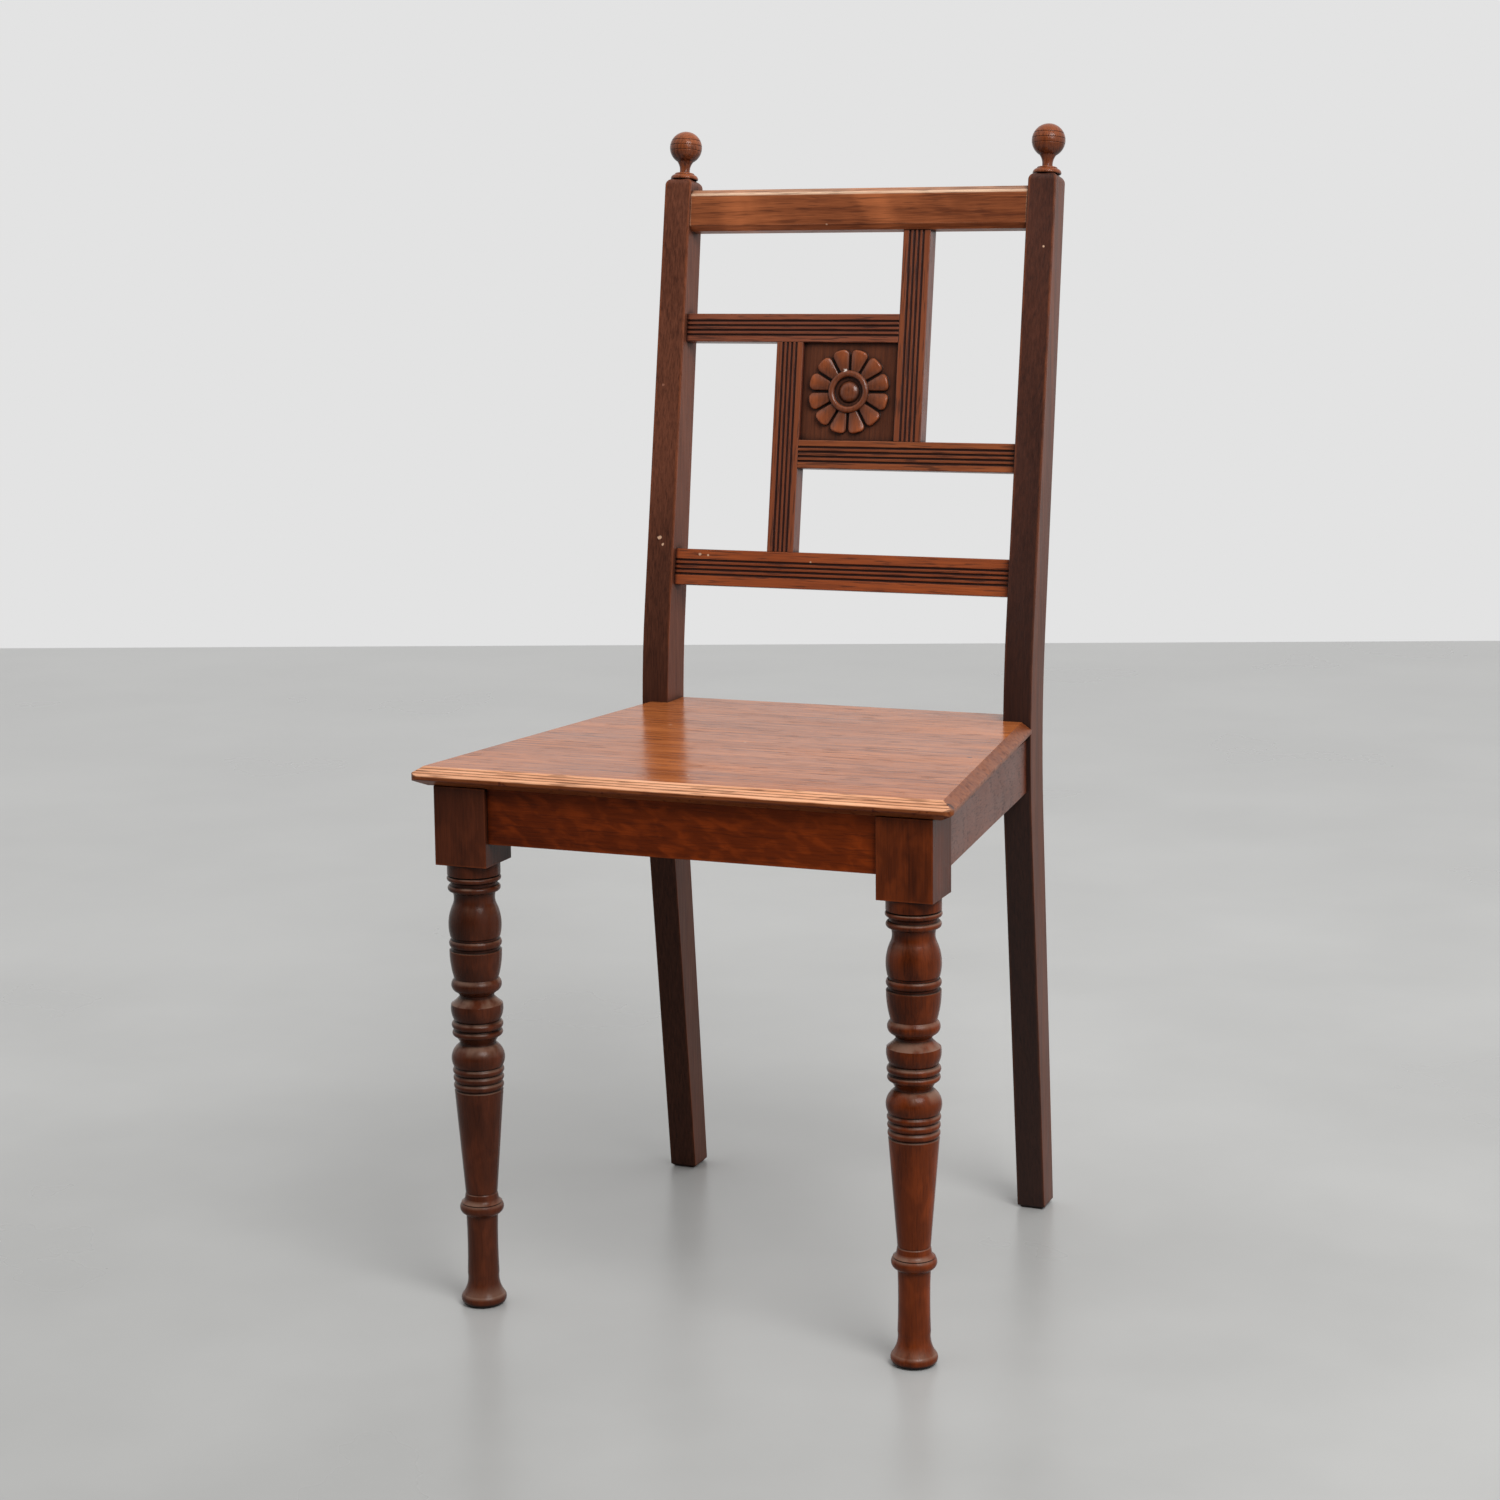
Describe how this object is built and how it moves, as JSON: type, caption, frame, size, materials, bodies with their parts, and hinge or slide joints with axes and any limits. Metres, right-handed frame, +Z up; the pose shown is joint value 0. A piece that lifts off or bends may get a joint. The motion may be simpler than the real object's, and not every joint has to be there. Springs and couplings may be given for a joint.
{
  "type": "side chair",
  "caption": "Oak side chair with turned front legs, bent rear posts with ball finials, reeded offset bars round a carved rosette panel, and a bevelled board seat.",
  "frame": {"origin": "on the floor, at the middle of the chair's width and of its overall depth", "axes": "+Z up, -Y the way the chair faces, +X to the right of someone looking at its front"},
  "size_m": [0.4592, 0.4674, 0.9714],
  "materials": {
    "posts_and_legs": "stained and waxed oak, satin",
    "seat": "stained and waxed oak, worn",
    "seat_rails": "stained and waxed oak, satin",
    "crest": "stained and waxed oak, worn",
    "carved_panel": "carved, stained and waxed oak",
    "inner_blocks": "plain unstained wood",
    "screws": "dull, aged"
  },
  "bodies": {
    "root": {"corner_block_front_left": "inner_blocks", "corner_block_front_right": "inner_blocks", "corner_block_rear_left": "inner_blocks", "corner_block_rear_right": "inner_blocks", "crest_rail": "crest", "finial_left": "posts_and_legs", "finial_right": "posts_and_legs", "front_leg_left": "posts_and_legs", "front_leg_right": "posts_and_legs", "front_seat_rail": "seat_rails", "lower_cross_bar": "posts_and_legs", "lower_upright": "posts_and_legs", "middle_cross_bar": "posts_and_legs", "rear_post_left": "posts_and_legs", "rear_post_right": "posts_and_legs", "rear_seat_rail": "seat_rails", "rosette_panel": "carved_panel", "seat_board": "seat", "seat_screw_front_left": "screws", "seat_screw_front_right": "screws", "seat_screw_rear_left": "screws", "seat_screw_rear_right": "screws", "side_seat_rail_left": "seat_rails", "side_seat_rail_right": "seat_rails", "upper_cross_bar": "posts_and_legs", "upper_upright": "posts_and_legs"}
  },
  "joints": []
}
